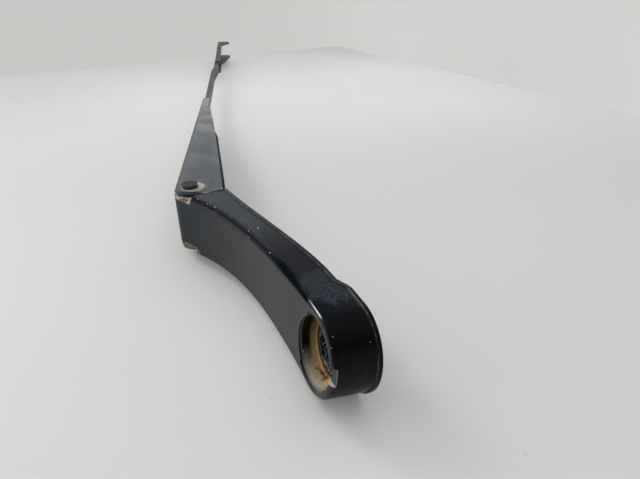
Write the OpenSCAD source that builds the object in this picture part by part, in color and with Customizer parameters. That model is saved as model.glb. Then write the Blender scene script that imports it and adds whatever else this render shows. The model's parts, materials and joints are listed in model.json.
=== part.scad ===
// Front wiper arm, laid out on its drive spindle.
// Origin: spindle axis at the underside of the boss.
// +Z runs up the spindle axis, +X points from the spindle towards the hinge.

/* [Boss and spindle seat] */
// Outer radius of the boss at its top edge
boss_r = 12.5; // [12.2:0.1:15]
// Height of the boss over its underside
boss_h = 13.9; // [13:0.1:17]
// Radius of the nut pocket
pocket_r = 10; // [8:0.1:10.4]
// Height of the nut seat over the underside
seat_z = 8.7; // [7:0.1:11]
// Depth of the chamfer round the pocket mouth
mouth_h = 0.8; // [0.4:0.1:1.5]
// Width of the chamfer round the pocket mouth
mouth_w = 0.9; // [0.4:0.1:1.2]
// Radius of the lead-in land under the taper
land_r = 6.8; // [6.6:0.1:8]
// Height of the lead-in land
land_h = 1.8; // [1:0.1:4]
// Valley radius of the serrated taper at the land
taper_low_r = 6.5; // [6:0.1:6.6]
// Valley radius of the serrated taper at the nut seat
taper_high_r = 6; // [5.2:0.1:6]
// Number of serrations
teeth = 40; // [24:2:60]
// Height of a serration
tooth_h = 0.5; // [0.3:0.05:0.8]
// Width of the puller notch in the rim
notch_w = 4.7; // [3:0.1:6]
// Depth of the puller notch
notch_h = 1.3; // [0.8:0.1:2.5]
// Angle of the puller notch about the spindle axis
notch_angle = 188; // [170:1:200]

/* [Cast beam] */
// Length of the flat top measured past the spindle axis
flat_x = 2; // [0:0.5:8]
// Slope of the top where it runs on to the hinge hub
climb_angle = 34; // [32:1:42]
// Edge radius of the top round the boss
boss_edge_r = 1.5; // [1:0.1:2]
// Edge radius of the top along the soft side of the beam
edge_r = 3.3; // [2:0.1:4]
// Edge radius of the top along the sharp side of the beam
sharp_edge_r = 0.9; // [0.5:0.1:2]
// How far the bead along the lower edge stands out
bead_w = 0.5; // [0.2:0.1:1]
// Height of the bead along the lower edge
bead_h = 1; // [0.6:0.1:2]
// How far each side draws in between boss and hinge
waist_w = 0.5; // [0:0.1:0.8]
// Draft of the side walls, as the widening at the foot
draft_w = 0.35; // [0.1:0.05:0.8]
// Start of the step from the boss underside up to the beam
step_x = 8; // [6:0.5:9]
// Length of that step
step_len = 6.6; // [4:0.2:8]
// Height of that step
step_h = 2.5; // [1.5:0.1:4]
// Side wall of the beam
wall = 2.4; // [1.8:0.1:3]
// Roof of the beam
roof = 2.6; // [2:0.1:3.4]
// Start of the hollow behind the boss
hollow_x = 16; // [15:0.5:20]
// Number of cross ribs in the hollow
ribs = 3; // [1:1:5]
// Thickness of a cross rib
rib_t = 1.8; // [1.2:0.1:2.6]
// Twist of the beam from the spindle axis to the hinge axis
twist = 7; // [3:0.5:9]

/* [Hinge] */
// Distance from the spindle axis to the hinge axis
pivot_x = 87; // [82:0.5:95]
// Height of the hinge axis over the boss underside
pivot_z = 29.7; // [28:0.1:32]
// Half width of the head and channel at the hinge
hinge_half_w = 12.7; // [11.8:0.1:13]
// Radius of the hub round the rivet
hub_r = 6.2; // [6:0.1:6.5]
// Length of the head tongue from its shoulder to the hinge axis
tongue_len = 8.4; // [8.3:0.1:9]
// Bevel along the tongue edges
tongue_bevel = 0.6; // [0.3:0.1:0.9]
// Radius of the rivet shank
shank_r = 2.6; // [2.4:0.05:2.8]
// Radius of the rivet where it passes the channel walls
rivet_end_r = 2.1; // [1.8:0.1:2.3]
// Radius of the rivet heads
rivet_head_r = 3; // [2.8:0.1:3.6]
// Height of the rivet heads
rivet_head_h = 1.3; // [0.8:0.1:1.8]
// Wall of the hinge bushes
bush_wall = 1.25; // [0.8:0.05:1.4]
// Running gap between rivet and bush
run_gap = 0.05; // [0.03:0.01:0.09]
// Thickness of the side washers
washer_t = 0.7; // [0.5:0.1:1]
// Outer radius of the side washers
washer_r = 5; // [4.5:0.1:5.5]
// Gap between a washer and the channel wall
washer_gap = 0.15; // [0.1:0.05:0.3]
// Droop of the arm below the head at rest
droop = 14; // [10:0.5:18]
// How far the arm can be lifted off the glass
lift_max = 85; // [60:1:85]

/* [Arm channel] */
// Sheet thickness
sheet_t = 1.3; // [1:0.1:1.4]
// Height of the channel back over the hinge axis
back_n = 6.2; // [5.9:0.1:6.5]
// Depth of the walls under the hinge axis
wall_n = 12.3; // [11.5:0.1:14]
// Length of the channel from the hinge axis
channel_len = 170; // [160:1:185]
// Half width of the channel at its far end
tail_half_w = 6; // [5.9:0.1:7.5]
// Outer bend radius of the folded edges
bend_r = 2.4; // [1.8:0.1:2.8]
// Start of the channel back from the hinge axis
back_s = 8; // [7:0.5:12]
// Corner radius of the cut in the back
back_cut_r = 3; // [2:0.5:5]
// Reach of the walls behind the hinge axis
heel_s = 6.6; // [6:0.1:6.8]
// How much deeper the wall on the sharp side of the beam hangs
skirt_n = 2.4; // [0:0.1:2.6]
// Length of the crimp that holds the rod
crimp_len = 30; // [20:1:40]
// Half gap between the crimped flanges
crimp_gap = 2; // [1.5:0.1:3]
// Distance from the washers to where the channel starts to taper
taper_gap = 1; // [0.5:0.5:4]

/* [Rod] */
// Width of the flat rod
rod_w = 8.4; // [7:0.1:8.6]
// Thickness of the flat rod
rod_t = 2.2; // [2:0.1:3]
// Where the far set of the rod starts
rod_bend_s = 275; // [230:1:290]
// Length of the far set of the rod
rod_bend_len = 40; // [30:1:42]
// Drop of the far set towards the glass
rod_drop = 2.9; // [2:0.1:5]
// End of the rod
rod_end_s = 345; // [340:1:350]
// Radius of the hole for the spring
rod_hole_r = 2; // [1.6:0.1:2.4]

/* [Blade adapter] */
// Sheet thickness of the adapter
adapter_t = 1.2; // [1:0.1:1.4]
// Length of the adapter over the rod
lap_len = 27; // [24:1:29]
// Length of the adapter past the end of the rod
reach_len = 87; // [80:1:95]
// Half width of the blade socket
socket_half_w = 8; // [7.2:0.1:9]
// Depth of the blade socket walls
socket_n = 12.5; // [10:0.1:14]
// Length of the full socket width
socket_len = 40; // [34:1:47]
// Length of the deep ears at the adapter's end
ear_len = 10; // [6:1:14]
// Length over which the steep ear rises to the tail depth
steep_len = 16; // [12:1:24]
// Length over which the long ear rises to the tail depth
slope_len = 56; // [40:1:60]
// Length of the latch window
window_len = 8; // [6:0.5:10]
// Width of the latch window
window_w = 6; // [4:0.5:8]
// Radius of the adapter rivet heads
adapter_rivet_r = 2.6; // [2.2:0.1:3]
// Height of the adapter rivet heads
adapter_rivet_h = 0.9; // [0.6:0.1:1.2]

/* [Spring and hook] */
// Place of the hook pin along the arm from the hinge axis
hook_s = -1.5; // [-1.7:0.1:-1.3]
// Depth of the hook pin under the hinge axis
hook_n = 8.7; // [8.6:0.1:9]
// Radius of the hook pin
hook_pin_r = 2.5; // [2:0.1:2.6]
// Wall of the hook eye
hook_eye_wall = 2; // [1.6:0.1:2.1]
// Thickness of the hook
hook_t = 2.4; // [2.2:0.1:3]
// Width of the hook limbs
limb_w = 2.6; // [2.4:0.1:3]
// Gap between the hook and the rivet with the arm lifted
limb_gap = 0.35; // [0.3:0.05:0.6]
// Distance from the hook pin to the hook riser
riser_u = 15.8; // [15.6:0.1:16.6]
// Distance from the hook pin to the spring eye
spring_eye_u = 20.8; // [20.4:0.1:22]
// Place of the rod hole along the arm
rod_hole_s = 112.4; // [111:0.1:114]
// Outer radius of the spring
spring_r = 5.3; // [5:0.1:5.4]
// Wire diameter of the spring
wire_d = 1.9; // [1.6:0.1:2]
// Number of coils
coils = 31; // [24:1:33]

/* [Hidden] */
// Half of the slot for the hook between the cheeks
slot_gap = 0.5;
slot_half = hook_t / 2 + slot_gap;
// Inner half width of the channel and the cheeks that fit in it
channel_in = hinge_half_w - sheet_t;
cheek_half = channel_in - washer_t - washer_gap;
taper_s = washer_r + taper_gap;
shoulder_x = pivot_x - tongue_len;
// Point where the climbing top meets the hub
climb_x = pivot_x - hub_r * sin(climb_angle);
climb_z = pivot_z + hub_r * cos(climb_angle);
climb_pow = tan(climb_angle) * (climb_x - flat_x) / (climb_z - boss_h);
// The beam's lower edge ends level with the channel walls
heel_z = pivot_z - wall_n;
beam_x = step_x + step_len;
// The twist starts past the boss and ends before the shoulder
twist_from = 16;
twist_to = shoulder_x - 4;
rib_front = shoulder_x - 5.5;
bush_r = shank_r + run_gap + bush_wall;
// Hook line from the hook pin to the rod hole
rod_hole_n = 0.15;
hook_z = -hook_n;
hook_tilt = atan2(rod_hole_n - hook_z, rod_hole_s - hook_s);
hook_line = norm([rod_hole_n - hook_z, rod_hole_s - hook_s]);
hook_eye_gap = 0.1;
eye_r = hook_pin_r + hook_eye_gap + hook_eye_wall;
eye_clear = 0.4;
spring_eye_r = wire_d / 2 + 0.9;
bow_gap = 0.5;
lobe_r = hook_pin_r + 2.6;
spring_eye_wall = 1.6;
// Corners of the walls behind the hinge; the upper one leaves the hub in view
heel_r = 5.8;
hub_show = 1;
corner_s = 0.6;
// Ramp of the walls up to the crimp
ramp_len = 8;
ramp_drop = 2.2;
// Rod centre line heights in the arm frame; its edges bear on the inside of the folds
fold_gap = 0.25;
rod_n = back_n - sheet_t - fold_gap - rod_t / 2;
rod_low_n = rod_n - rod_drop;
crimp_n = rod_n - rod_t / 2 - sheet_t;
adapter_s = rod_end_s - lap_len;
adapter_end_s = rod_end_s + reach_len;
socket_s = adapter_end_s - socket_len;
adapter_back_n = rod_low_n + rod_t / 2 + adapter_t;
adapter_tail_half_w = rod_w / 2 + adapter_t;
adapter_tail_n = rod_low_n - rod_t / 2 - adapter_t;
// Shank radius and places of the adapter rivets
rivet_r = 1.6;
rivet_inset = 6;
rivet_places = [adapter_s + rivet_inset, rod_end_s - rivet_inset];
// Hook pin seen from the hinge axis, in the head's hinge frame
pin_x = hook_s * cos(droop) + hook_z * sin(droop);
pin_z = -hook_s * sin(droop) + hook_z * cos(droop);
// Rod hole and hook line with the arm lifted all the way
up_angle = atan2(rod_hole_n, rod_hole_s) - droop + lift_max;
up_x = norm([rod_hole_s, rod_hole_n]) * cos(up_angle);
up_z = norm([rod_hole_s, rod_hole_n]) * sin(up_angle);
hook_up = atan2(up_z - pin_z, up_x - pin_x);
// The limb under the rivet clears its shank at full lift
rivet_n = pin_x * sin(hook_up) - pin_z * cos(hook_up);
limb_top = shank_r + limb_gap - rivet_n;
limb_low = limb_top + limb_w;
stations = 46;
nose_steps = 44;
fillet_steps = 6;
cut = 1;
slip = 0.01;
$fn = 64;

paint = [0.16, 0.17, 0.19];
sheet_paint = [0.3, 0.32, 0.36];
steel = [0.6, 0.6, 0.62];
bronze = [0.6, 0.45, 0.25];
plastic = [0.1, 0.1, 0.1];

// Smooth step from 0 to 1
function ss(t) = let (c = min(1, max(0, t))) c * c * (3 - 2 * c);

// Top line of the beam: flat over the boss, then climbing on to the hub
function top_z(x) = x <= flat_x ? boss_h
    : boss_h + (climb_z - boss_h) * pow((x - flat_x) / (climb_x - flat_x), climb_pow);

// Lower edge of the beam: the boss foot, a step, then a long rise
function low_z(x) = let (t = min(1, max(0, (x - beam_x) / (shoulder_x - beam_x))))
    step_h * ss((x - step_x) / step_len) + (heel_z - step_h) * (pow(t, 1.6) + ss(t)) / 2;

function half_w(x) = let (t = max(0, x) / shoulder_x)
    boss_r + (hinge_half_w - boss_r) * t - waist_w * sin(180 * t);

function edge_at(x, side) = boss_edge_r
    + ((side > 0 ? sharp_edge_r : edge_r) - boss_edge_r) * ss((x - 4) / 22);

// Turns a section point about the beam's twist line
function twisted(p) = let (t = ss((p[0] - twist_from) / (twist_to - twist_from)),
        a = -twist * t, zc = boss_h + (pivot_z - boss_h) * t)
    [p[0], p[1] * cos(a) - (p[2] - zc) * sin(a), zc + p[1] * sin(a) + (p[2] - zc) * cos(a)];

// Inset and height of the outer skin at level k of a station
function skin(k, x, side) = k == 0 ? [-bead_w - draft_w, low_z(x)]
    : k == 1 ? [-bead_w - draft_w, low_z(x) + bead_h]
    : k == 2 ? [-draft_w, low_z(x) + bead_h + bead_w]
    : let (a = 90 * (k - 3) / fillet_steps, e = edge_at(x, side))
        [e * (1 - cos(a)), top_z(x) - e * (1 - sin(a))];

// Plan of one level: far end, round the nose and back, as [x, side, nose angle]
outline = concat(
    [for (i = [stations:-1:1]) [shoulder_x * i / stations, 1, 90]],
    [for (i = [0:nose_steps]) [0, 0, 90 + 180 * i / nose_steps]],
    [for (i = [1:stations]) [shoulder_x * i / stations, -1, 270]]);

function skin_point(k, o) = o[1] == 0
    ? let (s = skin(k, 0, 1)) [(boss_r - s[0]) * cos(o[2]), (boss_r - s[0]) * sin(o[2]), s[1]]
    : let (s = skin(k, o[0], o[1])) twisted([o[0], o[1] * (half_w(o[0]) - s[0]), s[1]]);

// Outer skin of the head as one loft from the lower edge to the top
module head_skin() {
    levels = 3 + fillet_steps;
    n = len(outline);
    half = (n - 1) / 2;
    points = [for (k = [0:levels]) for (o = outline) skin_point(k, o)];
    sides = [for (k = [0:levels - 1]) for (i = [0:n - 2]) for (f = [0:1])
        f == 0 ? [k * n + i, k * n + n + i, k * n + n + i + 1]
            : [k * n + i, k * n + n + i + 1, k * n + i + 1]];
    front = concat([for (k = [0:levels]) k * n + n - 1], [for (k = [levels:-1:0]) k * n]);
    t = levels * n;
    top = [for (i = [0:half - 2]) for (f = [0:1])
        f == 0 ? [t + i, t + n - 1 - i, t + n - 2 - i] : [t + i, t + n - 2 - i, t + i + 1]];
    bottom = [for (i = [0:half - 2]) for (f = [0:1])
        f == 0 ? [n - 2 - i, n - 1 - i, i] : [i + 1, n - 2 - i, i]];
    polyhedron(points, concat(sides, [front], top, [[t + half - 1, t + half + 1, t + half]],
        bottom, [[half, half + 1, half - 1]]), convexity = 6);
}

// One hollow cell of the beam between two cross ribs, open downwards
module cell(from, to) {
    steps = 8;
    corner = 1.5;
    sections = [for (i = [0:steps]) let (x = from + (to - from) * i / steps,
            w = half_w(x) - wall, zt = top_z(x) - roof, zb = low_z(x) - 3)
        [[x, w, zb], [x, w, zt - corner], [x, w - corner, zt],
            [x, -w + corner, zt], [x, -w, zt - corner], [x, -w, zb]]];
    points = [for (s = sections) for (p = s) twisted(p)];
    sides = [for (i = [0:steps - 1]) for (j = [0:5]) for (f = [0:1])
        f == 0 ? [i * 6 + j, i * 6 + 6 + (j + 1) % 6, i * 6 + (j + 1) % 6]
            : [i * 6 + j, i * 6 + 6 + j, i * 6 + 6 + (j + 1) % 6]];
    polyhedron(points, concat(sides, [[for (j = [0:5]) j]],
        [[for (j = [5:-1:0]) steps * 6 + j]]), convexity = 4);
}

// Placing on the hinge axis, on the drooping arm and on the hook line
module at_hinge() translate([pivot_x, 0, pivot_z]) rotate([-twist, 0, 0]) children();

module at_arm() at_hinge() rotate([0, droop, 0]) children();

module at_hook() at_arm() translate([hook_s, 0, hook_z]) rotate([0, -hook_tilt, 0]) children();

// Side profile extruded evenly to both sides of the middle plane
module slab(half) rotate([90, 0, 0]) linear_extrude(height = 2 * half, center = true) children();

// Cylinder across the arm between two widths
module across(r, from, to) translate([0, to, 0]) rotate([90, 0, 0])
    cylinder(r = r, h = to - from);

// Side view of the head tongue, drawn in by the bevel for its outer faces
module tongue_side(inset) {
    back = -tongue_len - cut - inset;
    sunk = -tongue_len + 0.1;
    side = [cos(-24), sin(-24)];
    r = hub_r - inset;
    q = lobe_r - inset;
    circle(r = r);
    translate([pin_x, pin_z]) circle(r = q);
    polygon(concat(
        [[back, top_z(shoulder_x) - pivot_z - cut - inset]],
        [for (x = [sunk:0.5:climb_x - pivot_x - 0.4]) [x, top_z(x + pivot_x) - pivot_z - inset]],
        [[-r * sin(climb_angle), r * cos(climb_angle)], r * side,
            [pin_x, pin_z] + q * side, [pin_x, pin_z - q], [back, pin_z - q]]));
}

// Room for the hook between the cheeks, leaving the hub closed on top
module hook_slot_side() {
    left = pin_x - eye_r - eye_clear;
    along = [cos(hook_up), sin(hook_up)];
    edge = [pin_x, pin_z] + (limb_top - eye_clear) * [sin(hook_up), -cos(hook_up)];
    level = edge - along * edge[1] / along[1];
    reach = 40;
    translate([pin_x, pin_z]) circle(r = eye_r + eye_clear);
    polygon([[left, 0], [left, -reach], [reach, -reach], [reach, reach],
        level + reach * along, level]);
}

module serrated_taper() {
    h = seat_z - land_h;
    translate([0, 0, land_h - slip])
        linear_extrude(height = h + 2 * slip, scale = taper_high_r / taper_low_r)
            polygon([for (i = [0:2 * teeth - 1]) let (a = 180 * i / teeth,
                    r = taper_low_r - (i % 2) * tooth_h)
                [r * cos(a), r * sin(a)]]);
}

// Head: cast in one piece with boss, beam, ribs and hinge tongue
module head() color(paint) difference() {
    cells = ribs + 1;
    pitch = (rib_front + rib_t - hollow_x) / cells;
    union() {
        head_skin();
        at_hinge() {
            slab(cheek_half) tongue_side(tongue_bevel);
            slab(cheek_half - tongue_bevel) tongue_side(0);
        }
    }
    translate([0, 0, seat_z]) cylinder(r = pocket_r, h = boss_h);
    translate([0, 0, boss_h - mouth_h]) cylinder(r1 = pocket_r, r2 = pocket_r + mouth_w,
        h = mouth_h + slip);
    translate([0, 0, -cut]) cylinder(r = land_r, h = land_h + cut);
    serrated_taper();
    rotate([0, 0, notch_angle]) translate([pocket_r - cut, -notch_w / 2, boss_h - notch_h])
        cube([boss_r, notch_w, notch_h + cut]);
    for (i = [0:cells - 1]) cell(hollow_x + i * pitch, hollow_x + (i + 1) * pitch - rib_t);
    at_hinge() {
        across(bush_r, slot_half, cheek_half + cut);
        across(bush_r, -cheek_half - cut, -slot_half);
        across(shank_r + 3 * run_gap, -slot_half - cut, slot_half + cut);
        translate([pin_x, 0, pin_z]) across(hook_pin_r, -cheek_half - cut, cheek_half + cut);
        slab(slot_half) hook_slot_side();
    }
}

// Shouldered rivet on which the arm turns
module hinge_pin() color(steel) at_hinge() {
    outer = hinge_half_w + rivet_head_h;
    across(shank_r, -channel_in, channel_in);
    across(rivet_end_r, -outer, outer);
    across(rivet_head_r, hinge_half_w, outer);
    across(rivet_head_r, -outer, -hinge_half_w);
}

module ring(r_in, r_out, from, to) difference() {
    across(r_out, from, to);
    across(r_in, from - cut, to + cut);
}

module hinge_bush_upper() color(bronze) at_hinge()
    ring(shank_r + run_gap, bush_r, -cheek_half, -slot_half);

module hinge_bush_lower() color(bronze) at_hinge()
    ring(shank_r + run_gap, bush_r, slot_half, cheek_half);

module hinge_washer_upper() color(plastic) at_hinge()
    ring(shank_r + run_gap, washer_r, -cheek_half - washer_t, -cheek_half);

module hinge_washer_lower() color(plastic) at_hinge()
    ring(shank_r + run_gap, washer_r, cheek_half, cheek_half + washer_t);

module hook_pin() color(steel) at_hinge() translate([pin_x, 0, pin_z])
    across(hook_pin_r, -cheek_half, cheek_half);

// Side view of one channel wall with its rounded corners and rising lower edge
module channel_side(skirt) {
    crimp_s = channel_len - crimp_len;
    corner_r = back_n - hub_show;
    polygon(concat(
        [[0, back_n], [channel_len, back_n], [channel_len, crimp_n], [crimp_s, crimp_n],
            [crimp_s - ramp_len, crimp_n - ramp_drop], [0.6 * channel_len, -wall_n * 0.36],
            [0.36 * channel_len, -wall_n * 0.625 - skirt * 0.6]],
        skirt > 0 ? [[heel_r, -wall_n - skirt]] : [],
        [for (a = [274:-12:190]) [heel_r - heel_s + heel_r * cos(a),
            heel_r - wall_n + heel_r * sin(a)]],
        [for (a = [185:-15:95]) [corner_s + corner_r * cos(a),
            back_n - corner_r + corner_r * sin(a)]]));
}

function channel_half(s) = hinge_half_w
    - (hinge_half_w - tail_half_w) * max(0, s - taper_s) / (channel_len - taper_s);

// Plan of the channel, drawn in by the sheet for its inside
module channel_plan(inset) {
    far = channel_len + (inset > 0 ? cut : 0);
    a = hinge_half_w - inset;
    b = channel_half(far) - inset;
    polygon([[-20, a], [taper_s, a], [far, b], [far, -b], [taper_s, -a], [-20, -a]]);
}

// Corner waste along both folded edges, so that the bend comes out round
module fold_waste(inset, r) {
    lean = atan2(hinge_half_w - tail_half_w, channel_len - taper_s);
    for (m = [0, 1]) mirror([0, m, 0])
        translate([taper_s, hinge_half_w - inset, back_n - inset]) rotate([0, 0, -lean])
            rotate([90, 0, 90]) translate([0, 0, -20])
                linear_extrude(height = channel_len + 40) difference() {
                    translate([-r, -r]) square(r + cut);
                    translate([-r, -r]) circle(r = r);
                }
}

// Cut that clears the hub where the channel back starts
module back_cut_plan() {
    translate([-20, -channel_in]) square([20 + back_s - back_cut_r, 2 * channel_in]);
    translate([-20, -channel_in + back_cut_r])
        square([20 + back_s, 2 * (channel_in - back_cut_r)]);
    for (y = [-1, 1]) translate([back_s - back_cut_r, y * (channel_in - back_cut_r)])
        circle(r = back_cut_r);
}

// Folded sheet channel, tapering to a crimp round the rod
module arm_channel() color(sheet_paint) at_arm() {
    crimp_s = channel_len - crimp_len;
    difference() {
        intersection() {
            union() {
                translate([0, -hinge_half_w, 0]) slab(hinge_half_w + cut) channel_side(0);
                translate([0, hinge_half_w, 0]) slab(hinge_half_w - cut) channel_side(skirt_n);
            }
            translate([0, 0, -50]) linear_extrude(height = 100) channel_plan(0);
        }
        fold_waste(0, bend_r);
        difference() {
            translate([0, 0, -50]) linear_extrude(height = 50 + back_n - sheet_t)
                channel_plan(sheet_t);
            fold_waste(sheet_t, bend_r - sheet_t);
        }
        linear_extrude(height = 20) back_cut_plan();
        across(rivet_end_r, -2 * hinge_half_w, 2 * hinge_half_w);
    }
    intersection() {
        translate([0, 0, crimp_n]) linear_extrude(height = sheet_t) channel_plan(slip);
        for (y = [-20, crimp_gap]) translate([crimp_s, y, crimp_n])
            cube([crimp_len, 20 - crimp_gap * (y < 0 ? 1 : 0), sheet_t]);
    }
}

// Flat rod with its set at each end
module arm_rod() color(sheet_paint) at_arm() {
    tip = rod_hole_s - rod_w / 2;
    up = rod_hole_s + 4;
    set = 6;
    line = [[tip, rod_hole_n], [up, rod_hole_n], [up + set, rod_n], [rod_bend_s, rod_n],
        [rod_bend_s + rod_bend_len, rod_low_n], [rod_end_s, rod_low_n]];
    h = rod_t / 2;
    difference() {
        intersection() {
            slab(rod_w / 2) polygon(concat([for (p = line) p + [0, h]],
                [for (i = [len(line) - 1:-1:0]) line[i] - [0, h]]));
            translate([0, 0, -50]) linear_extrude(height = 100) {
                translate([rod_hole_s, 0]) circle(r = rod_w / 2);
                translate([rod_hole_s, -rod_w / 2]) square([rod_end_s - rod_hole_s, rod_w]);
            }
        }
        translate([rod_hole_s, 0, -20]) cylinder(r = rod_hole_r, h = 40);
        for (s = rivet_places) translate([s, 0, -20]) cylinder(r = rivet_r, h = 40);
    }
}

// Side view of the adapter: a shallow tail and an ear that rises over a length
module adapter_side(rise) {
    back = adapter_back_n;
    low = back - socket_n;
    corner = 4;
    far = adapter_end_s - ear_len;
    polygon(concat([[adapter_s, back], [adapter_end_s - 2, back], [adapter_end_s, back - 2]],
        [for (a = [0:-15:-90]) [adapter_end_s - corner + corner * cos(a),
            low + corner + corner * sin(a)]],
        [[far, low], [far - rise, adapter_tail_n], [adapter_s, adapter_tail_n]]));
}

// Plan of the adapter, drawn in by the sheet for its inside
module adapter_plan(inset) {
    a = adapter_tail_half_w - inset;
    b = socket_half_w - inset;
    near = adapter_s - (inset > 0 ? cut : 0);
    far = adapter_end_s + (inset > 0 ? cut : 0);
    polygon([[near, a], [rod_end_s + 4, a], [socket_s, b], [far, b],
        [far, -b], [socket_s, -b], [rod_end_s + 4, -a], [near, -a]]);
}

// Folded sheet adapter with the socket for the blade
module blade_adapter() color(sheet_paint) at_arm() {
    difference() {
        intersection() {
            union() {
                slab(20) adapter_side(steep_len);
                translate([0, 20 + cut, 0]) slab(20) adapter_side(slope_len);
            }
            translate([0, 0, -50]) linear_extrude(height = 100) adapter_plan(0);
        }
        translate([0, 0, -50]) linear_extrude(height = 50 + adapter_back_n - adapter_t)
            adapter_plan(adapter_t);
        translate([socket_s + 13, -window_w / 2, adapter_back_n - 2 * adapter_t])
            cube([window_len, window_w, 3 * adapter_t]);
        for (s = rivet_places) translate([s, 0, -20]) cylinder(r = rivet_r, h = 40);
    }
    for (y = [crimp_gap, slip - adapter_tail_half_w]) translate([adapter_s, y, adapter_tail_n])
        cube([lap_len, adapter_tail_half_w - slip - crimp_gap, adapter_t]);
}

// Two rivets through the adapter and the rod
module adapter_rivets() color(steel) at_arm() for (s = rivet_places) translate([s, 0, 0]) {
    under = rod_low_n - rod_t / 2;
    translate([0, 0, under - adapter_rivet_h])
        cylinder(r = crimp_gap - 0.1, h = adapter_rivet_h);
    translate([0, 0, under - slip]) cylinder(r = rivet_r, h = adapter_back_n - under + 2 * slip);
    translate([0, 0, adapter_back_n]) cylinder(r = adapter_rivet_r, h = adapter_rivet_h);
}

// Cranked hook that passes under the hub from the hook pin to the spring
module tension_hook() color(steel) at_hook() slab(hook_t / 2) difference() {
    side = limb_w / 2;
    union() {
        circle(r = eye_r);
        polygon([[-eye_r * cos(35), -eye_r * sin(35)], [-side, -limb_low],
            [riser_u + side, -limb_low], [riser_u + side, -limb_top], [0, -limb_top]]);
        translate([riser_u + side, side - limb_low]) circle(r = side);
        translate([riser_u, side - limb_low]) square([limb_w, limb_low - side]);
        translate([riser_u + side, 0]) circle(r = side);
        translate([spring_eye_u, 0]) circle(r = spring_eye_r + spring_eye_wall);
    }
    circle(r = hook_pin_r + hook_eye_gap);
    translate([spring_eye_u, 0]) circle(r = spring_eye_r);
}

// Centre line of the spring along the hook line, from one end hook to the other
near_u = spring_eye_u + spring_eye_r - wire_d / 2 - bow_gap;
far_u = hook_line - rod_hole_r + wire_d / 2 + bow_gap;
bow_r = wire_d / 2 + hook_t / 2 + 1.05;
coil_r = spring_r - wire_d / 2;
coil_start = near_u + bow_r + 3.4;
coil_end = far_u - bow_r - 6.8;
coil_pitch = (coil_end - coil_start) / coils;
turns = coils - 0.5;
wire_line = concat(
    [[near_u + bow_r + 1.4, -bow_r, 0]],
    [for (a = [-90:-22.5:-270]) [near_u + bow_r + bow_r * cos(a), bow_r * sin(a), 0]],
    [[coil_start - 1.5, bow_r + 0.3, 0.2], [coil_start - 0.6, coil_r - 0.4, 1]],
    [for (i = [1:12 * turns]) let (a = 30 * i)
        [coil_start + coil_pitch * i / 12, coil_r * cos(a), coil_r * sin(a)]],
    [[coil_end - 0.1, -coil_r * 0.8, 2.6], [coil_end + 0.9, -1.2, 4], [coil_end + 2.6, 0, bow_r + 0.3]],
    [for (a = [90:-22.5:-90]) [far_u - bow_r + bow_r * cos(a), 0, bow_r * sin(a)]],
    [[far_u - bow_r - 1.6, 0, -bow_r]]);

function unit(v) = v / norm(v);

function heading(i) = let (n = len(wire_line))
    unit(wire_line[min(n - 1, i + 1)] - wire_line[max(0, i - 1)]);

// Close-wound extension spring with a hook at each end, swept as one wire
module tension_spring() color(steel) at_hook() {
    n = len(wire_line);
    sides = 6;
    frames = [for (i = 0, f = [0, 0, 1]; i < n;
        i = i + 1, f = i < n ? unit(f - heading(i) * (f * heading(i))) : f) f];
    points = [for (i = [0:n - 1]) let (t = heading(i), u = unit(frames[i] - t * (frames[i] * t)),
            v = cross(t, u))
        for (j = [0:sides - 1]) let (a = 360 * j / sides)
            wire_line[i] + wire_d / 2 * (cos(a) * u + sin(a) * v)];
    skins = [for (i = [0:n - 2]) for (j = [0:sides - 1]) for (f = [0:1])
        let (a = i * sides + j, b = i * sides + (j + 1) % sides)
        f == 0 ? [a, a + sides, b + sides] : [a, b + sides, b]];
    polyhedron(points, concat(skins, [[for (j = [0:sides - 1]) j]],
        [[for (j = [sides - 1:-1:0]) (n - 1) * sides + j]]), convexity = 10);
}

head();
hinge_pin();
hinge_bush_upper();
hinge_bush_lower();
hinge_washer_upper();
hinge_washer_lower();
hook_pin();
arm_channel();
arm_rod();
blade_adapter();
adapter_rivets();
tension_hook();
tension_spring();
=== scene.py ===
"""Looks of the wiper arm: camera, table, light, and the finish of every part."""

import json
from math import radians

import bpy
from mathutils import Matrix, Vector


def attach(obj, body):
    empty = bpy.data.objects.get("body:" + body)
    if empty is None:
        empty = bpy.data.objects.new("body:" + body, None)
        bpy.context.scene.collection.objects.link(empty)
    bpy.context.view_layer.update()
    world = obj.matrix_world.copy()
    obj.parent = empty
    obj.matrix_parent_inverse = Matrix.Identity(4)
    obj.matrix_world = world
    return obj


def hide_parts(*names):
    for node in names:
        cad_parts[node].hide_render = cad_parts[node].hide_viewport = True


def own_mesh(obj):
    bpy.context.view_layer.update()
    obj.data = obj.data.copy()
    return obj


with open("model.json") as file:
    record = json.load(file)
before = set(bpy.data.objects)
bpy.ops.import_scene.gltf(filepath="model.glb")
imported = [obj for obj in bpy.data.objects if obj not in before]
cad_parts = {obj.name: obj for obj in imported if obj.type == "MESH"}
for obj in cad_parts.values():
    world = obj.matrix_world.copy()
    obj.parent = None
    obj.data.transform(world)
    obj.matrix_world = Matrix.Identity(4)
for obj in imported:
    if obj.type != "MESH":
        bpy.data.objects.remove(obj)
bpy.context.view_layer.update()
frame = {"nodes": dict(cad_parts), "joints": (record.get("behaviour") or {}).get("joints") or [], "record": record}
nodes = frame["nodes"]

MM = 0.001

# Up from the table that the arm lies on, in the arm's own frame
TABLE_UP = Vector((0, -0.9903, 0.1392)).normalized()
# Camera, in metres in the arm's frame
CAMERA_AT = Vector((-0.085987, -0.084296, 0.059281))
CAMERA_LOOK = Vector((0.7936, 0.46014, -0.39808))
CAMERA_TOP = Vector((0.46867, -0.87953, -0.08232))
FOCAL_PIXELS = 469.6
IMAGE_WIDTH = 640
SENSOR = 36.0
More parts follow.
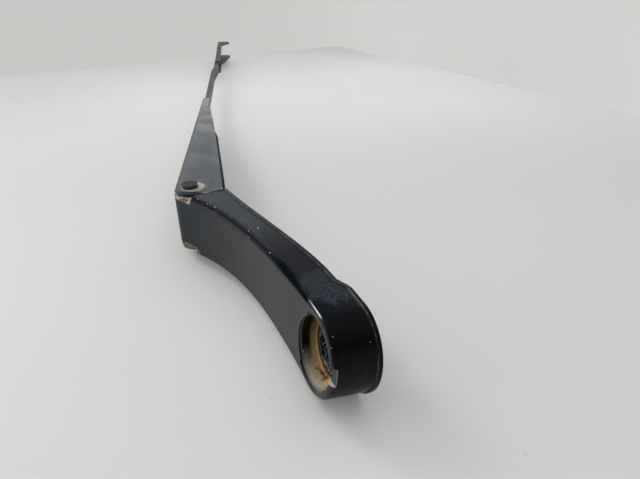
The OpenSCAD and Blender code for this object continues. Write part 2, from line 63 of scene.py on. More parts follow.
# Level directions over the table, as the camera sees them
AHEAD = (CAMERA_LOOK - TABLE_UP * CAMERA_LOOK.dot(TABLE_UP)).normalized()
RIGHT = CAMERA_LOOK.cross(CAMERA_TOP).normalized()

# Hinge axis and the arm's own directions, from the joint in the record
JOINTS = {j["name"]: j for j in frame["joints"]}
HINGE = Vector(JOINTS["arm_lift"]["pos_m"])
ACROSS = -Vector(JOINTS["arm_lift"]["axis"]).normalized()
HEAD_UP = Vector((1, 0, 0)).cross(ACROSS).normalized()
DROOP = Matrix.Rotation(radians(14), 3, ACROSS)
ALONG = DROOP @ Vector((1, 0, 0))
ARM_UP = DROOP @ HEAD_UP

# Spindle seat, from the mounts in the record
MOUNTS = {m["name"]: m for m in frame["record"]["mounts"]}
POCKET_R = MOUNTS["nut_pocket"]["dims"]["r_mm"] * MM
POCKET_TOP = MOUNTS["nut_pocket"]["pos_m"][2]
SEAT_Z = MOUNTS["nut_seat"]["pos_m"][2]
LAND_R = MOUNTS["spindle_bore"]["dims"]["r_mm"] * MM

# Casting: its shoulder at the hinge, the step behind the boss and its twist
SHOULDER_X = HINGE.x - 8.4 * MM
BOSS_TOP = POCKET_TOP + 0.8 * MM
STEP_X = 8 * MM
STEP_END = 14.6 * MM
STEP_H = 2.5 * MM
FOOT_H = HINGE.z - 12.3 * MM
TWIST_FROM = 16 * MM
TWIST_TO = SHOULDER_X - 4 * MM
TWIST_SIN = -ACROSS.z
TWIST_COS = ACROSS.y

# Directions on the head
SPINDLE_UP = (0, 0, 1)
UPPER_SIDE = (0, -0.99, 0.12)

# Paint, what it has faded to, and painted shade on it
BLACK_PAINT = (0.003, 0.0044, 0.0074)
BOSS_PAINT = (0.0045, 0.0045, 0.005)
SHADED_FACE = (0.014, 0.019, 0.024)
FADED_FACE = (0.054, 0.053, 0.057)
BOSS_FACE = (0.036, 0.035, 0.035)
GREY_BLUE_PAINT = (0.036, 0.043, 0.055)
FOLD_SHADE = (0.012, 0.014, 0.018)
DARK_PAINT = (0.02, 0.021, 0.023)
# Dust and dirt, one film of which also paints a reflection
DUST = (0.17, 0.185, 0.2)
DUST_AND_REFLECTION_FILM = (0.066, 0.074, 0.095)
BLUE_DUST = (0.12, 0.16, 0.21)
BROWN_DUST = (0.12, 0.11, 0.09)
PALE_FILM = (0.32, 0.325, 0.335)
ROD_FILM = (0.12, 0.115, 0.105)
OCHRE = (0.3, 0.19, 0.075)
# Bare and worn metal, and a painted highlight
BARE = (0.5, 0.49, 0.46)
RUSTY = (0.2, 0.13, 0.07)
BEAD_HIGHLIGHT = (0.2, 0.18, 0.15)
SCRATCHED = (0.3, 0.31, 0.33)
PALE_WEAR = (0.42, 0.39, 0.34)
BROWN_WEAR = (0.21, 0.15, 0.1)
# Spindle seat
POCKET_WALL_SHADE = (0.005, 0.0045, 0.003)
POCKET_METAL = (0.4, 0.355, 0.27)
STAINED_WALL = (0.016, 0.015, 0.01)
BRIGHT_WALL = (0.6, 0.58, 0.5)
OCHRE_IN_SHADE = (0.17, 0.105, 0.04)
OCHRE_IN_LIGHT = (0.5, 0.34, 0.15)
SEAT_DIRT = (0.016, 0.013, 0.01)
RUST_SPOT = (0.13, 0.055, 0.02)
TAPER_DARK = (0.02, 0.021, 0.024)
TAPER_BRIGHT = (0.55, 0.56, 0.58)
RIM = (0.13, 0.115, 0.09)
NOTCH_SHADED = (0.22, 0.22, 0.21)
NOTCH_PALE = (0.45, 0.44, 0.4)


def rgba(colour):
    return (*colour, 1.0)


class Finish:
    """A material with short calls for the nodes that it is made of."""

    def __init__(self, name, roughness, metallic=0.0, specular=0.5):
        self.material = bpy.data.materials.new(name)
        self.material.use_nodes = True
        self.tree = self.material.node_tree
        self.shader = self.tree.nodes["Principled BSDF"]
        self.shader.inputs["Metallic"].default_value = metallic
        self.shader.inputs["Roughness"].default_value = roughness
        self.shader.inputs["Specular IOR Level"].default_value = specular
        self.place = self.tree.nodes.new("ShaderNodeTexCoord").outputs["Object"]
        self.axes = self.node("ShaderNodeSeparateXYZ", Vector=self.place).outputs

    def node(self, kind, settings=None, **inputs):
        made = self.tree.nodes.new(kind)
        for key, value in (settings or {}).items():
            setattr(made, key, value)
        for key, value in inputs.items():
            self.put(made.inputs[key.replace("_", " ")], value)
        return made

    def put(self, socket, value):
        if isinstance(value, bpy.types.NodeSocket):
            self.tree.links.new(value, socket)
        else:
            socket.default_value = value

    def put_colour(self, socket, value):
        self.put(socket, value if isinstance(value, bpy.types.NodeSocket) else rgba(value))

    def math(self, operation, a, b=0.0, clamp=False):
        made = self.tree.nodes.new("ShaderNodeMath")
        made.operation = operation
        made.use_clamp = clamp
        self.put(made.inputs[0], a)
        self.put(made.inputs[1], b)
        return made.outputs[0]

    def add(self, a, b):
        return self.math("ADD", a, b)

    def times(self, a, b):
        return self.math("MULTIPLY", a, b)

    def minus(self, a, b):
        return self.math("SUBTRACT", a, b)

    def both(self, a, b):
        """Where two masks overlap."""
        return self.math("MULTIPLY", a, b, clamp=True)

    def either(self, *masks):
        """Where at least one of the masks is."""
        found = masks[0]
        for mask in masks[1:]:
            found = self.math("MAXIMUM", found, mask)
        return found

    def ramp(self, value, low, high, to_low=0.0, to_high=1.0):
        """Smooth step of a value between two limits."""
        made = self.node("ShaderNodeMapRange", {"interpolation_type": "SMOOTHSTEP"}, Value=value)
        limits = {"From Min": low, "From Max": high, "To Min": to_low, "To Max": to_high}
        for key, number in limits.items():
            made.inputs[key].default_value = number
        return made.outputs["Result"]

    def noise(self, grain, detail=4.0, stretch=(1, 1, 1), roughness=0.6):
        """Noise whose features are about as wide as the grain, in metres."""
        scaled = self.node("ShaderNodeMapping", Vector=self.place, Scale=stretch).outputs["Vector"]
        return self.node("ShaderNodeTexNoise", Vector=scaled, Scale=1 / grain, Detail=detail,
                         Roughness=roughness).outputs["Fac"]

    def vector(self, operation, a, b=None):
        made = self.node("ShaderNodeVectorMath", {"operation": operation})
        self.put(made.inputs[0], a)
        if b is not None:
            made.inputs[1].default_value = b
        return made.outputs

    def along(self, origin, direction):
        """Distance of a surface point along a direction from an origin."""
        away = self.vector("SUBTRACT", self.place, origin)["Vector"]
        return self.vector("DOT_PRODUCT", away, direction)["Value"]

    def facing(self, direction, low=0.5, high=0.8):
        """Where the surface faces a direction."""
        normal = self.node("ShaderNodeNewGeometry").outputs["True Normal"]
        to_object = {"vector_type": "NORMAL", "convert_from": "WORLD", "convert_to": "OBJECT"}
        turned = self.node("ShaderNodeVectorTransform", to_object, Vector=normal).outputs["Vector"]
        return self.ramp(self.vector("DOT_PRODUCT", turned, direction)["Value"], low, high)

    def patch(self, centre, size, grain=0.8 * MM, ragged=0.6, stretch=(1, 1, 1)):
        """Ragged patch round a point."""
        away = self.vector("SUBTRACT", self.place, centre)["Vector"]
        scaled = self.vector("MULTIPLY", away, stretch)["Vector"]
        distance = self.vector("LENGTH", scaled)["Value"]
        wobble = self.times(self.minus(self.noise(grain), 0.5), ragged * 2 * size)
        return self.ramp(self.add(distance, wobble), size, 0.75 * size)

    def mix(self, mask, under, over):
        """Colour that goes from one to another by a mask."""
        made = self.tree.nodes.new("ShaderNodeMix")
        made.data_type = "RGBA"
        factor, first, second = made.inputs[0], made.inputs[6], made.inputs[7]
        self.put(factor, mask)
        self.put_colour(first, under)
        self.put_colour(second, over)
        return made.outputs[2]

    def colour(self, value):
        self.put_colour(self.shader.inputs["Base Color"], value)

    def rough(self, value):
        self.put(self.shader.inputs["Roughness"], value)

    def metal(self, value):
        self.put(self.shader.inputs["Metallic"], value)

    def specular(self, value):
        self.put(self.shader.inputs["Specular IOR Level"], value)

    def bump(self, height, depth, strength=1.0, under=None):
        made = self.node("ShaderNodeBump", Height=height, Distance=depth, Strength=strength)
        if under is not None:
            self.put(made.inputs["Normal"], under)
        self.put(self.shader.inputs["Normal"], made.outputs["Normal"])
        return made.outputs["Normal"]


def outer_face(f, fine):
    """Mask and colour of the head's outer face: faded grey, darker towards the boss, with painted shade that
    darkens it towards the hinge.
    """
    x = f.axes[0]
    mask = f.both(f.facing(SPINDLE_UP, 0.4, 0.6), f.facing((0, -1, 0), 0.42, 0.18))
    # Painted shade: the faded grey darkens towards the hinge
    faded_and_shaded = f.mix(f.ramp(x, 90 * MM, 20 * MM), SHADED_FACE, FADED_FACE)
    faded_and_shaded = f.mix(f.ramp(x, 18 * MM, 4 * MM), faded_and_shaded, BOSS_FACE)
    speckle = f.ramp(fine, 0.46, 0.72)
    return mask, f.mix(f.times(speckle, 0.2), faded_and_shaded, DUST)


def dust_on_head(f, fine):
    """Masks of the dust on the side that faces up: a film that thickens towards the hinge, where it also paints
    the side's brighter reflection, a settled patch, and one low on the nose.
    """
    x = f.axes[0]
    cloud = f.ramp(f.noise(12 * MM, 4), 0.42, 0.68)
    side = f.facing(UPPER_SIDE, 0.7, 0.95)
    # Dust film, which also paints the side's reflection brighter towards the hinge
    film = f.both(f.both(side, f.ramp(fine, 0.35, 0.7, 0.5, 1.0)), f.ramp(x, 28 * MM, 60 * MM, 0.06, 0.95))
    film = f.both(film, f.add(0.72, f.times(cloud, 0.28)))
    behind_boss = f.patch((11.5 * MM, -12.5 * MM, 6.5 * MM), 9 * MM, 3 * MM, 0.6)
    settled = f.both(f.both(side, behind_boss), f.ramp(fine, 0.4, 0.72))
    low_nose = f.patch((-12.5 * MM, 1 * MM, 3.5 * MM), 5 * MM, 3 * MM)
    return film, settled, f.both(low_nose, f.ramp(fine, 0.5, 0.7))


def chips_on_head(f):
    """Mask of small chips: scattered along the soft ridge, and single ones at the boss."""
    x = f.axes[0]
    spots = f.ramp(f.noise(0.9 * MM, 1, roughness=0.3), 0.735, 0.76)
    ridge = f.both(f.facing((-0.33, -0.5, 0.78), 0.8, 0.92), f.ramp(x, 25 * MM, 40 * MM))
    places_mm = (
        ((48.6, -12.8, 15.3), 0.3), ((34.9, -11, 15.4), 0.3), ((-6.8, -10.5, 12.4), 0.17),
        ((-8.5, -8.6, 13.4), 0.18), ((-9.3, -8.8, 2.9), 0.14))
    singles = [f.patch(tuple(MM * c for c in place), size * MM, 0.5 * MM, 0.5) for place, size in places_mm]
    return f.either(f.both(spots, ridge), *singles)


def lower_edge_height(f):
    """Height of a point over the beam's lower edge, with the twist of the beam taken out."""
    x, y, z = f.axes
    turn = f.ramp(x, TWIST_FROM, TWIST_TO)
    middle = f.add(BOSS_TOP, f.times(turn, HINGE.z - BOSS_TOP))
    upright = f.minus(1.0, f.times(f.times(turn, turn), 1 - TWIST_COS))
    untwisted = f.add(middle, f.times(f.minus(z, middle), upright))
    untwisted = f.add(untwisted, f.times(f.times(turn, y), TWIST_SIN))
    t = f.math("DIVIDE", f.minus(x, STEP_END), SHOULDER_X - STEP_END, clamp=True)
    climb = f.add(f.math("POWER", t, 1.6), f.ramp(x, STEP_END, SHOULDER_X))
    edge = f.add(f.ramp(x, STEP_X, STEP_END, 0.0, STEP_H), f.times(climb, (FOOT_H - STEP_H) / 2))
    return f.minus(untwisted, edge)


def bead_on_head(f):
    """Masks of the bead's zone, of its bevel, and of the painted highlight line on the bevel's lower half."""
    x, _, z = f.axes
    zone = f.ramp(f.minus(z, f.times(x, 0.27)), 4.5 * MM, 3.5 * MM)
    bevel = f.both(f.facing(SPINDLE_UP, 0.5, 0.62), zone)
    thin = f.ramp(lower_edge_height(f), 1.35 * MM, 1.2 * MM)
    # Painted highlight along the lower half of the bead's bevel
    bead_highlight_line = f.both(f.both(bevel, thin), f.ramp(f.noise(2.5 * MM, 5), 0.35, 0.65, 0.08, 0.38))
    return zone, bevel, bead_highlight_line


def hinge_wear(f):
    """Mask of the bare spots at the hinge: beside the tongue, and low on the shoulder's corner."""
    x, y, z = f.axes
    beside = f.both(f.ramp(y, -11.2 * MM, -10.8 * MM), f.ramp(y, -8.6 * MM, -9 * MM))
    past_shoulder = f.ramp(x, SHOULDER_X - 0.2 * MM, SHOULDER_X + 0.2 * MM)
    beside = f.both(beside, f.both(past_shoulder, f.ramp(z, 30.5 * MM, 31.5 * MM)))
    beside = f.both(beside, f.ramp(f.noise(1.4 * MM, 3), 0.3, 0.42))
    corner_at = (SHOULDER_X + 2.6 * MM, 12.1 * MM, 31.2 * MM)
    return f.either(beside, f.patch(corner_at, 2.8 * MM, 1 * MM, 0.6, (0.5, 1, 0.6)))


def pocket_wall(f, radius):
    """Colour of the pocket's wall and floor: bare metal where it faces up from the table, with painted shade
    towards the side that faces the table.
    """
    _, y, z = f.axes
    stain = f.noise(2.2 * MM, 5)
    # Painted shade: the wall goes dark towards its side that faces the table
    wall = f.mix(f.ramp(y, 4.5 * MM, 10.8 * MM), POCKET_WALL_SHADE, POCKET_METAL)
    stained = f.both(f.ramp(stain, 0.47, 0.62), f.ramp(y, 9.5 * MM, 3 * MM))
    wall = f.mix(stained, wall, STAINED_WALL)
    bright = f.both(f.ramp(f.noise(1.1 * MM, 3), 0.6, 0.68), f.ramp(y, 4 * MM, 8 * MM))
    wall = f.mix(bright, wall, BRIGHT_WALL)
    floor_edge = f.both(f.ramp(z, SEAT_Z + 2.2 * MM, SEAT_Z + 0.6 * MM),
                        f.ramp(radius, POCKET_R - 3.6 * MM, POCKET_R - 1 * MM))
    # Ochre at the floor's edge, with painted shade where it lies beside the wall that faces the table
    ochre = f.mix(f.ramp(y, -8 * MM, 7 * MM), OCHRE_IN_SHADE, OCHRE_IN_LIGHT)
    wall = f.mix(f.both(floor_edge, f.ramp(stain, 0.3, 0.5, 0.5, 1.0)), wall, ochre)
    wall = f.mix(f.ramp(radius, POCKET_R - 1.2 * MM, POCKET_R - 2.4 * MM), wall, SEAT_DIRT)
    rust_at = (1 * MM, 8.8 * MM, SEAT_Z)
    rust = f.both(f.patch(rust_at, 3.2 * MM, 1 * MM, 0.5), f.ramp(f.noise(1.2 * MM, 5), 0.46, 0.56))
    return f.mix(rust, wall, RUST_SPOT)


def spindle_seat(f):
    """Masks of the machined seat, of its taper and of the pocket's rim, and the seat's colour."""
    x, y, z = f.axes
    radius = f.math("SQRT", f.add(f.math("POWER", x, 2.0), f.math("POWER", y, 2.0)))
    within = f.ramp(radius, POCKET_R + 0.22 * MM, POCKET_R + 0.08 * MM)
    seat = f.both(f.both(within, f.ramp(z, POCKET_TOP + 0.2 * MM, POCKET_TOP)), f.ramp(z, -1 * MM, 0.0))
    off_rim = f.math("ABSOLUTE", f.minus(radius, POCKET_R + 0.1 * MM))
    rim = f.both(f.ramp(off_rim, 0.22 * MM, 0.1 * MM),
                 f.ramp(z, POCKET_TOP - 0.4 * MM, POCKET_TOP - 0.1 * MM))
    taper = f.ramp(radius, LAND_R + 0.3 * MM, LAND_R)
    scraped = f.ramp(f.noise(0.8 * MM, 3), 0.48, 0.6)
    colour = f.mix(taper, pocket_wall(f, radius), f.mix(scraped, TAPER_DARK, TAPER_BRIGHT))
    return seat, taper, rim, colour


def puller_notch(f):
    """Mask and colour of the bare puller notch in the rim, with painted shade on its faces towards the table."""
    x, y, z = f.axes
    notch = f.both(f.ramp(x, 0.4 * MM - POCKET_R, -0.1 * MM - POCKET_R),
                   f.ramp(z, POCKET_TOP - 0.9 * MM, POCKET_TOP - 0.4 * MM))
    notch = f.both(notch, f.ramp(f.math("ABSOLUTE", f.add(y, 1.5 * MM)), 2.7 * MM, 2.5 * MM))
    notch = f.both(notch, f.facing(SPINDLE_UP, 0.9, 0.4))
    # Painted shade: faces towards the table get a darker copy of the bare metal
    return notch, f.mix(f.facing((0, 1, 0), -0.2, 0.3), NOTCH_PALE, NOTCH_SHADED)


def head_paint():
    """Black paint on the casting, faded on its outer face with painted shade towards the hinge, with the bare
    spindle seat.
    """
    f = Finish("head_paint", 0.3)
    x = f.axes[0]
    fine = f.noise(0.4 * MM, 3, roughness=0.75)
    outer, faded_and_shaded = outer_face(f, fine)
    film, settled, low_dust = dust_on_head(f, fine)
    bead_zone, bevel, bead_highlight_line = bead_on_head(f)
    at_hinge = hinge_wear(f)
    worn = f.either(chips_on_head(f), at_hinge)
    seat, taper, rim, seat_colour = spindle_seat(f)
    notch, notch_colour = puller_notch(f)

    base = f.mix(f.ramp(x, 6 * MM, -6 * MM), BLACK_PAINT, BOSS_PAINT)
    # Faded outer face, with its painted shade towards the hinge
    base = f.mix(outer, base, faded_and_shaded)
    # Dust film with a painted reflection that brightens it towards the hinge
    base = f.mix(film, base, DUST_AND_REFLECTION_FILM)
    base = f.mix(f.times(settled, 0.35), base, BLUE_DUST)
    base = f.mix(f.times(low_dust, 0.2), base, BROWN_DUST)
    # Painted highlight line on the bead's bevel
    base = f.mix(bead_highlight_line, base, BEAD_HIGHLIGHT)
    rusty = f.both(at_hinge, f.ramp(f.noise(1.6 * MM, 3), 0.45, 0.55))
    base = f.mix(worn, base, f.mix(rusty, BARE, RUSTY))
    base = f.mix(seat, base, seat_colour)
    base = f.mix(rim, base, RIM)
    f.colour(f.mix(notch, base, notch_colour))
    f.metal(f.either(f.times(f.both(seat, taper), 0.8), f.times(worn, 0.2)))

    # Gloss: full on the black boss, dull where faded, dusty or bare
    dull = f.either(f.times(outer, 0.6), film, f.times(settled, 0.7), f.times(seat, 0.75), worn, bevel)
    f.rough(f.add(f.ramp(x, 3 * MM, 18 * MM, 0.17, 0.48), f.times(dull, 0.25)))
    rounding = f.both(f.facing((0, -0.6, 0.8), 0.8, 0.92), f.minus(1.0, bead_zone))
    glint = f.times(rounding, f.ramp(x, 0.0, 11 * MM, 0.5, -0.3))
    f.specular(f.math("ADD", f.ramp(x, -2 * MM, 50 * MM, 0.12, 0.42), glint, clamp=True))
    skin = f.bump(f.noise(0.7 * MM, 2), 0.03 * MM, 0.4)
    f.bump(f.minus(1.0, worn), 0.12 * MM, 0.5, under=skin)
    return f.material


def sheet_start(name):
    """Satin paint with the masks of its dust film, its scratches and its worn spots."""
    f = Finish(name, 0.42, specular=0.45)
    streaks = f.ramp(f.noise(11 * MM, 6, stretch=(0.6, 1, 1)), 0.4, 0.6)
    speckle = f.ramp(f.noise(0.6 * MM, 3), 0.42, 0.7)
    film = f.both(f.add(0.25, f.times(streaks, 0.75)), f.add(0.5, f.times(speckle, 0.5)))
    scratches = f.ramp(f.noise(1.2 * MM, 2, stretch=(0.12, 1, 1.6)), 0.69, 0.73)
    spots = f.ramp(f.noise(1.3 * MM, 1, roughness=0.3), 0.75, 0.78)
    worn = f.both(spots, f.facing(tuple(ARM_UP), 0.2, 0.7))
    return f, film, f.times(scratches, 0.3), worn


def sheet_end(f, base, film, worn):
    """Sets the colour, the gloss and the skin of a painted sheet."""
    f.colour(base)
    f.rough(f.add(0.36, f.times(film, 0.2)))
    skin = f.bump(f.noise(0.8 * MM, 3), 0.04 * MM, 0.5)
    f.bump(f.minus(1.0, worn), 0.1 * MM, 0.4, under=skin)
    return f.material


def rivet_halo(f, s, n):
    """Mask of the pale halo that the rivet's head has worn, a little longer on its lower side."""
    r = f.math("SQRT", f.add(f.math("POWER", s, 2.0), f.math("POWER", n, 2.0)))
    wobble = f.times(f.minus(f.noise(3 * MM, 4), 0.5), 1.6 * MM)
    reach = f.add(f.add(r, wobble), f.times(n, 0.25))
    return f.both(f.ramp(reach, 4.8 * MM, 3.6 * MM), f.ramp(f.noise(1.1 * MM, 3), 0.25, 0.5, 0.5, 0.9))


def channel_paint():
    """Dusty grey-blue paint on the folded channel, worn round the hinge, with painted shade along its upper fold.
    """
    f, film, scratches, worn = sheet_start("sheet_paint")
    s = f.along(HINGE, ALONG)
    n = f.along(HINGE, ARM_UP)
    thick = f.times(film, f.ramp(s, 0.0, 120 * MM, 0.6, 1.5))
    base = f.mix(thick, GREY_BLUE_PAINT, DUST)
    base = f.mix(f.both(film, f.ramp(s, 60 * MM, 150 * MM, 0.0, 0.8)), base, PALE_FILM)
    base = f.mix(scratches, base, SCRATCHED)
    # Painted shade along the channel's upper fold, deepest near the hinge
    shaded_fold = f.facing(tuple((ARM_UP - ACROSS).normalized()), 0.78, 0.94)
    base = f.mix(f.both(shaded_fold, f.ramp(s, 140 * MM, 100 * MM, 0.2, 0.85)), base, FOLD_SHADE)
    heel = f.both(f.ramp(s, -5.4 * MM, -6.3 * MM), f.ramp(f.noise(1.4 * MM, 3), 0.35, 0.55))
    lower_edge = f.both(f.facing(tuple(-ARM_UP), 0.25, 0.6), f.ramp(s, 50 * MM, 30 * MM))
    corner = f.patch((84.9 * MM, 12.4 * MM, 33.4 * MM), 3.4 * MM, 1 * MM, 0.6)
    worn = f.either(worn, rivet_halo(f, s, n), heel, lower_edge, corner)
    base = f.mix(worn, base, f.mix(corner, PALE_WEAR, BROWN_WEAR))
    dirt = f.both(f.ramp(s, -5.9 * MM, -6.4 * MM), f.ramp(n, -4 * MM, 0.0))
    return sheet_end(f, f.mix(dirt, base, OCHRE), film, worn)


def rod_paint():
    """Dark dusty paint on the rod and the adapter."""
    f, film, scratches, worn = sheet_start("rod_paint")
    base = f.mix(f.times(film, 0.45), DARK_PAINT, ROD_FILM)
    base = f.mix(scratches, base, SCRATCHED)
    return sheet_end(f, f.mix(worn, base, PALE_WEAR), film, worn)


def bare_steel():
    """Dull steel of the rivets and pins, with patches of dark oxide."""
    f = Finish("bare_steel", 0.42, metallic=0.5)
    oxide = f.ramp(f.noise(2.2 * MM, 4), 0.36, 0.72)
    f.colour(f.mix(oxide, (0.022, 0.023, 0.025), (0.06, 0.061, 0.064)))
    f.rough(f.ramp(f.noise(0.9 * MM, 4), 0.3, 0.7, 0.34, 0.56))
    f.bump(f.noise(0.6 * MM, 3), 0.03 * MM, 0.5)
    return f.material


def spring_steel():
    """Black oxide on the spring and its hook, with a little brown dirt."""
    f = Finish("spring_steel", 0.46, metallic=0.35)
    dirt = f.ramp(f.noise(4 * MM, 5), 0.5, 0.72)
    f.colour(f.mix(dirt, (0.012, 0.012, 0.0135), (0.06, 0.045, 0.03)))
    f.rough(f.ramp(f.noise(1.2 * MM, 4), 0.3, 0.7, 0.38, 0.6))
    f.bump(f.noise(0.5 * MM, 3), 0.03 * MM, 0.5)
    return f.material


def bush_bronze():
    """Bronze with fine turning marks."""
    f = Finish("bush", 0.3, metallic=1.0)
    turning = f.noise(0.4 * MM, 2, stretch=(1, 0.1, 1))
    f.colour(f.mix(turning, (0.32, 0.2, 0.08), (0.5, 0.34, 0.16)))
    f.rough(f.ramp(f.noise(1 * MM), 0.3, 0.7, 0.25, 0.4))
    f.bump(turning, 0.02 * MM, 0.5)
    return f.material


def washer_plastic():
    """Black plastic with a fine grain."""
    f = Finish("washer", 0.6)
    f.colour(f.mix(f.noise(1.2 * MM), (0.012, 0.012, 0.012), (0.03, 0.03, 0.03)))
    f.bump(f.noise(0.4 * MM), 0.03 * MM, 0.6)
    return f.material


def paint_nodes():
    """Gives every part of the CAD frame its finish."""
    parts_of = {
        head_paint: ["head"],
        channel_paint: ["arm_channel"],
        rod_paint: ["arm_rod", "blade_adapter"],
        bare_steel: ["hinge_pin", "hook_pin", "adapter_rivets"],
        spring_steel: ["tension_hook", "tension_spring"],
        bush_bronze: ["hinge_bush_upper", "hinge_bush_lower"],
        washer_plastic: ["hinge_washer_upper", "hinge_washer_lower"],
    }
    for make, parts in parts_of.items():
        finish = make()
        for part in parts:
            nodes[part].data.materials.clear()
            nodes[part].data.materials.append(finish)


def stretching_spring():
    """The spring as a piece of its own: a copy of the CAD spring that rides the link, in place of the hidden CAD
    spring.
    """
    made = bpy.data.objects.new("stretching_spring", nodes["tension_spring"].data.copy())
    bpy.context.scene.collection.objects.link(made)
    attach(made, "link")
    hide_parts("tension_spring")
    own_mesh(made)


def stage_tone(f, tone, right_falloff_tone, falloff_ahead):
    """Pale tone with painted light falloff: it changes towards the right and, where asked, gets paler ahead, with
    faint clouds and specks.
    """
    # Painted light falloff across the stage
    base = f.mix(f.ramp(f.along(HINGE, RIGHT), -0.1, 0.2), tone, right_falloff_tone)
    if falloff_ahead:
        # Painted light: the table gets paler ahead
        base = f.mix(f.ramp(f.along(HINGE, AHEAD), 0.05, 0.4), base, (0.88, 0.88, 0.87))
    clouds = f.ramp(f.noise(0.35, 3), 0.3, 0.7, 0.0, 0.3)
    base = f.mix(clouds, base, tuple(0.93 * c for c in tone))
    specks = f.ramp(f.noise(2.2 * MM, 1, roughness=0.2), 0.8, 0.84)
    return f.mix(f.times(specks, 0.25), base, (0.3, 0.29, 0.27))


def mixed_shader(f, share, first, second):
    made = f.node("ShaderNodeMixShader", Fac=share)
    f.put(made.inputs[1], first)
    f.put(made.inputs[2], second)
    return made.outputs["Shader"]


def one_sided(name, tone, right_falloff_tone, backdrop=False):
    """Pale stage material that can't be seen from behind."""
    f = Finish(name, 0.55, specular=0.3)
    base = stage_tone(f, tone, right_falloff_tone, falloff_ahead=not backdrop)
    f.colour(base)
    # The walls show their own tone; the table shows a share of it, which keeps shadows soft
    ray = f.node("ShaderNodeLightPath").outputs
    if backdrop:
        share = f.either(ray["Is Camera Ray"], ray["Is Glossy Ray"])
    else:
        share = f.times(ray["Is Camera Ray"], 0.2)
        base = f.mix(0.2, base, (1.0, 1.0, 1.0))
    shown = f.node("ShaderNodeEmission", Color=base).outputs["Emission"]
    front = mixed_shader(f, share, f.shader.outputs["BSDF"], shown)
    back = f.node("ShaderNodeNewGeometry").outputs["Backfacing"]
    clear = f.node("ShaderNodeBsdfTransparent").outputs["BSDF"]
    surface = f.tree.nodes["Material Output"].inputs["Surface"]
    f.tree.links.new(mixed_shader(f, back, front, clear), surface)
    return f.material


def stage_sheet(name, corners, material):
    mesh = bpy.data.meshes.new(name)
    mesh.from_pydata([tuple(c) for c in corners], [], [(0, 1, 2, 3)])
    mesh.materials.append(material)
    made = bpy.data.objects.new(name, mesh)
    bpy.context.scene.collection.objects.link(made)


def stage_set():
    """Table under the arm and two low pale walls that meet behind it."""
    lowest = min(v.co.dot(TABLE_UP) for piece in nodes.values() for v in piece.data.vertices)
    level = TABLE_UP * lowest
    # Point of the table under the camera, from which the stage is laid out
    stand = CAMERA_AT - TABLE_UP * (CAMERA_AT - level).dot(TABLE_UP)
    half = 3
    table_corners = [stand + half * (a * AHEAD + r * RIGHT) for a, r in ((-1, -1), (-1, 1), (1, 1), (1, -1))]
    # Table tone, with painted light falloff that darkens it to the right
    table = one_sided("table_white", (0.6, 0.6, 0.59), (0.575, 0.575, 0.565))
    stage_sheet("table", table_corners, table)
    corner = stand + 0.714 * AHEAD + 0.028 * RIGHT
    left_end = corner - 1.46 * RIGHT - 0.808 * AHEAD
    right_end = corner + 1.115 * RIGHT - 1.735 * AHEAD
    rise = 0.3 * TABLE_UP
    # Wall tone, with painted light falloff that makes it paler to the right
    wall = one_sided("wall_white", (0.585, 0.585, 0.57), (0.66, 0.66, 0.645), backdrop=True)
    stage_sheet("wall_left", [left_end, corner, corner + rise, left_end + rise], wall)
    stage_sheet("wall_right", [corner, right_end, right_end + rise, corner + rise], wall)


def area_light(name, at, towards, size, power, tint=(1, 1, 1), mirrored=True):
    light = bpy.data.lights.new(name, "AREA")
    light.shape = "DISK"
    light.size = size
    light.energy = power
    light.color = tint
    made = bpy.data.objects.new(name, light)
    made.location = at
    made.rotation_euler = (towards - at).to_track_quat("-Z", "Y").to_euler()
    made.visible_glossy = mirrored
    made.visible_camera = False
    bpy.context.scene.collection.objects.link(made)


def light_set():
    """Broad light from above, a window ahead on the left, and a fill from the left."""
    middle = Vector((0.12, 0, 0))
    under = middle + 0.15 * AHEAD
    area_light("overhead", under + 1.1 * TABLE_UP, under, 2.2, 16.0, mirrored=False)
    window = Vector((0.66, -0.54, 0.51)).normalized()
    area_light("window", middle + 0.9 * window, Vector((0, 0, 0)), 0.34, 3.4, (1.0, 0.99, 0.97))
    left = middle - 0.8 * RIGHT + 0.25 * TABLE_UP
    area_light("fill_left", left, middle, 0.9, 4.2, mirrored=False)


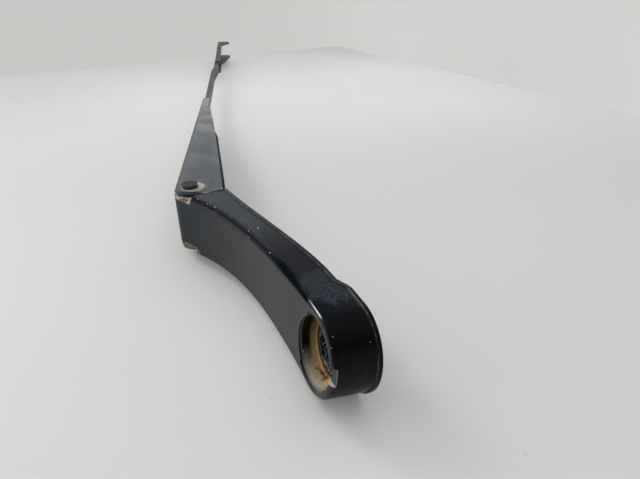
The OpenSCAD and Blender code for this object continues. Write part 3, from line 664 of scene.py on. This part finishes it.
def surroundings():
    """Pale room: bright near the horizon, dim overhead and behind the camera."""
    world = bpy.data.worlds.new("room")
    bpy.context.scene.world = world
    world.use_nodes = True
    tree = world.node_tree
    tree.nodes.clear()
    place = tree.nodes.new("ShaderNodeTexCoord").outputs["Generated"]

    def step(direction, low, high, to_low, to_high):
        """Smooth step of how far a ray points in a direction."""
        dot = tree.nodes.new("ShaderNodeVectorMath")
        dot.operation = "DOT_PRODUCT"
        tree.links.new(place, dot.inputs[0])
        dot.inputs[1].default_value = direction
        made = tree.nodes.new("ShaderNodeMapRange")
        made.interpolation_type = "SMOOTHSTEP"
        tree.links.new(dot.outputs["Value"], made.inputs["Value"])
        limits = {"From Min": low, "From Max": high, "To Min": to_low, "To Max": to_high}
        for key, number in limits.items():
            made.inputs[key].default_value = number
        return made.outputs["Result"]

    def background(colour):
        made = tree.nodes.new("ShaderNodeBackground")
        made.inputs["Color"].default_value = rgba(colour)
        return made

    brightness = tree.nodes.new("ShaderNodeMath")
    brightness.operation = "MULTIPLY"
    tree.links.new(step(TABLE_UP, 0.34, 0.52, 0.95, 0.1), brightness.inputs[0])
    tree.links.new(step(AHEAD, -0.7, 0.1, 0.3, 1.0), brightness.inputs[1])
    room = background((0.88, 0.95, 1.0))
    tree.links.new(brightness.outputs[0], room.inputs["Strength"])
    seen = background((0.66, 0.66, 0.65))
    both = tree.nodes.new("ShaderNodeMixShader")
    tree.links.new(tree.nodes.new("ShaderNodeLightPath").outputs["Is Camera Ray"], both.inputs[0])
    tree.links.new(room.outputs[0], both.inputs[1])
    tree.links.new(seen.outputs[0], both.inputs[2])
    out = tree.nodes.new("ShaderNodeOutputWorld")
    tree.links.new(both.outputs[0], out.inputs["Surface"])


def camera_set():
    """Camera that was fitted to the outline in the photo."""
    camera = bpy.data.cameras.new("camera")
    camera.sensor_fit = "HORIZONTAL"
    camera.sensor_width = SENSOR
    camera.lens = FOCAL_PIXELS / IMAGE_WIDTH * SENSOR
    camera.clip_start = 5 * MM
    camera.clip_end = 20
    made = bpy.data.objects.new("camera", camera)
    back = -CAMERA_LOOK.normalized()
    top = (CAMERA_TOP - back * CAMERA_TOP.dot(back)).normalized()
    side = top.cross(back)
    made.matrix_world = Matrix.Translation(CAMERA_AT) @ Matrix((side, top, back)).transposed().to_4x4()
    bpy.context.scene.collection.objects.link(made)
    bpy.context.scene.camera = made


camera_set()
surroundings()
stage_set()
light_set()
paint_nodes()
stretching_spring()
bpy.context.scene.view_settings.view_transform = "Standard"
